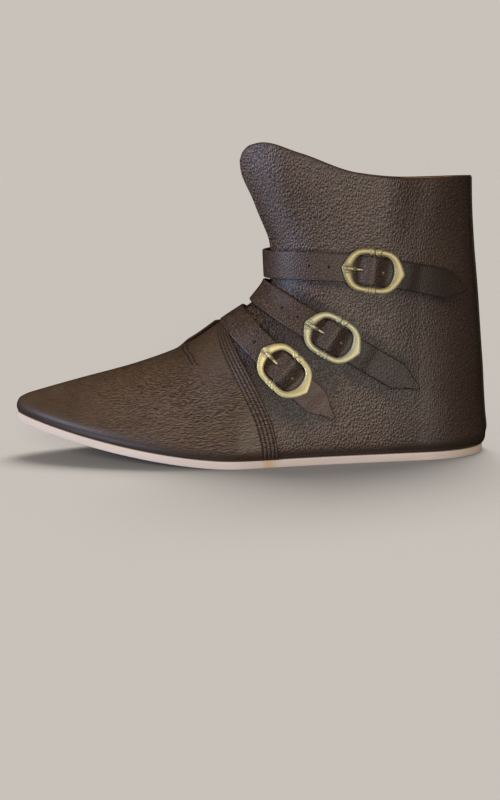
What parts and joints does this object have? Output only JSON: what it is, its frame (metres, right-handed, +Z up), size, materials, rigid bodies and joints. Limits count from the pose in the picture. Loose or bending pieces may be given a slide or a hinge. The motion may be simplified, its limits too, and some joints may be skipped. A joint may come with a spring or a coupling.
{
  "type": "ankle boot",
  "caption": "Medieval style leather ankle boot for the left foot with a pointed toe, a flat sole and buckled straps across the instep.",
  "frame": {"origin": "on the floor under the boot, on the flat of the sole at half its length", "axes": "+X from toe to heel along the foot, +Y to the inner side of the foot, +Z up; the buckles face -Y"},
  "size_m": [0.2957, 0.0972, 0.1917],
  "materials": {
    "upper_leather": "pebbled, semi-matt",
    "strap_leather": "smooth, semi-matt",
    "sole_leather": "raw, matt",
    "insole_leather": "raw, matt",
    "brass": "cast, satin"
  },
  "bodies": {
    "root": {"upper": "upper_leather", "outsole": "sole_leather", "insole": "insole_leather", "strap_top": "strap_leather", "chape_top": "strap_leather", "buckle_top": "brass", "pin_top": "brass", "strap_middle": "strap_leather", "chape_middle": "strap_leather", "buckle_middle": "brass", "pin_middle": "brass", "strap_bottom": "strap_leather", "chape_bottom": "strap_leather", "buckle_bottom": "brass", "pin_bottom": "brass"}
  },
  "joints": []
}
